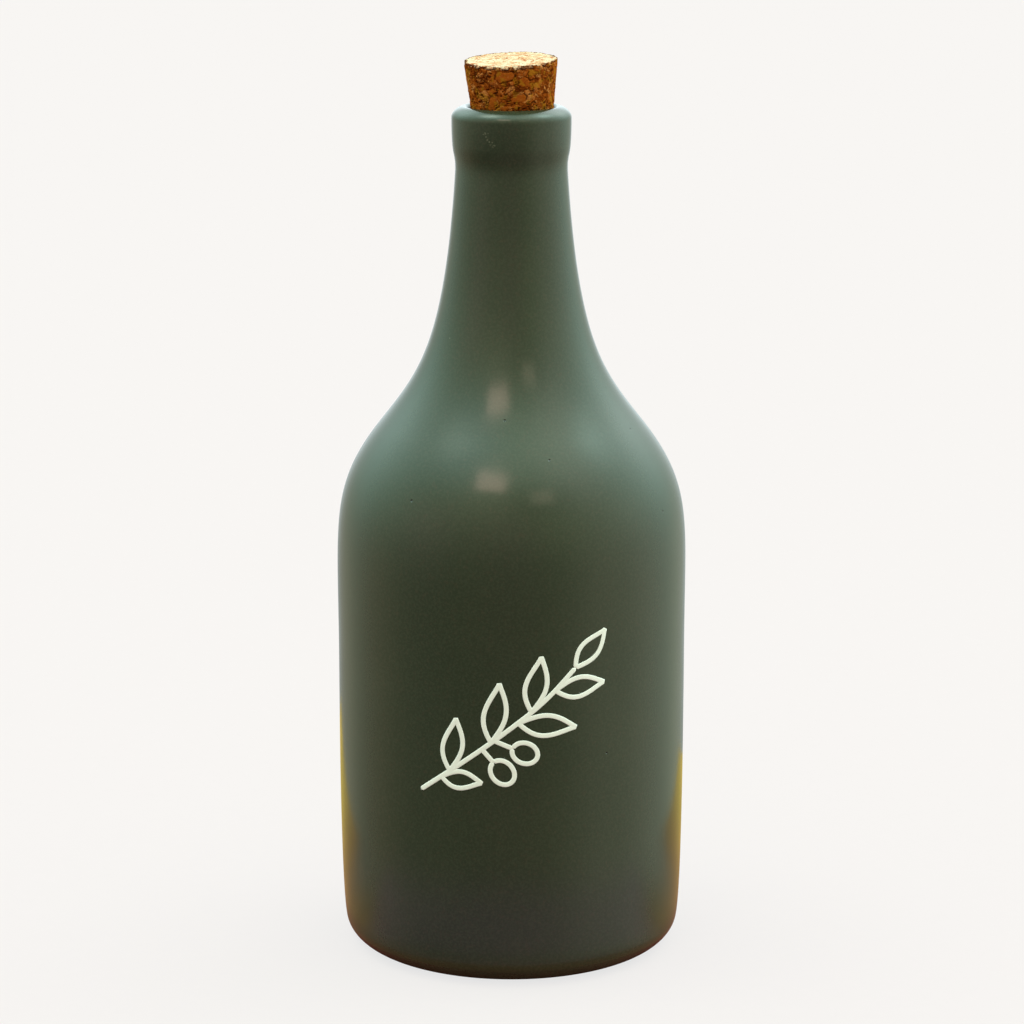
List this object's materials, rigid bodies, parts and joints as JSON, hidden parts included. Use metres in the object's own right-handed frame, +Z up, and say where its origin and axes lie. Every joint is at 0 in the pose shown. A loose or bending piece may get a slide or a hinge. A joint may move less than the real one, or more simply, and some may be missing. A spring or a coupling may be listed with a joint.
{
  "type": "oil cruet",
  "caption": "Round-shouldered stoneware oil bottle with a long neck, a collared lip and a tapered cork standing a little askew in its mouth.",
  "frame": {"origin": "middle of the foot ring, on the surface that the bottle stands on", "axes": "+Z up along the bottle's axis, -Y out of its decorated front, +X to the right of someone facing the front"},
  "size_m": [0.0818, 0.0818, 0.2101],
  "materials": {
    "glaze": "satin",
    "cork": "matte"
  },
  "bodies": {
    "root": {"bottle": "glaze", "cork": "cork"}
  },
  "joints": []
}
